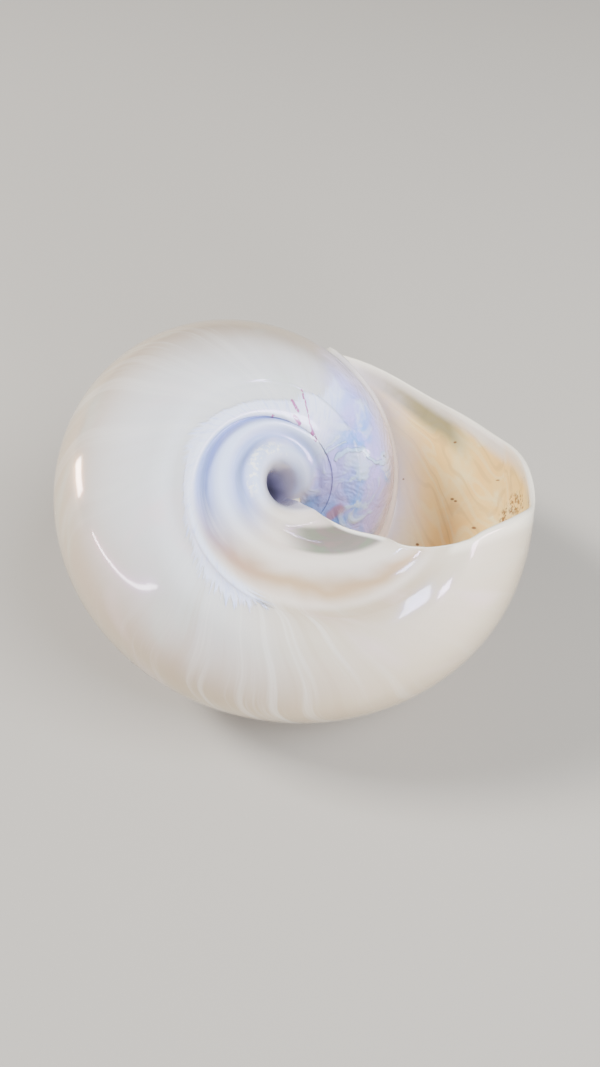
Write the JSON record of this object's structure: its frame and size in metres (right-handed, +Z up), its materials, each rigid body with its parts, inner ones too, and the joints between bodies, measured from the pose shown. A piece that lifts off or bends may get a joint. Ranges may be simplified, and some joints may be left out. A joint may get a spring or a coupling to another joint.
{
  "type": "polished turban seashell",
  "caption": "A whole spiral turban seashell, polished to its mother of pearl, with an open mouth and a ridged base, for display or as a bowl-like ornament.",
  "frame": {"origin": "on the floor, under the middle of the box of the shell as it lies on its side", "axes": "+Z up from the floor it lies on; the mouth opens up and towards +X; +X runs across the shell, from its rounded back to its lip; +Y points away from the picture's near side"},
  "size_m": [0.0902, 0.078, 0.0624],
  "materials": {
    "pearl": "polished mother of pearl with soft grey, cream, green and pink sheen, and a warm gold inside"
  },
  "bodies": {
    "root": {"shell": "pearl"}
  },
  "joints": []
}
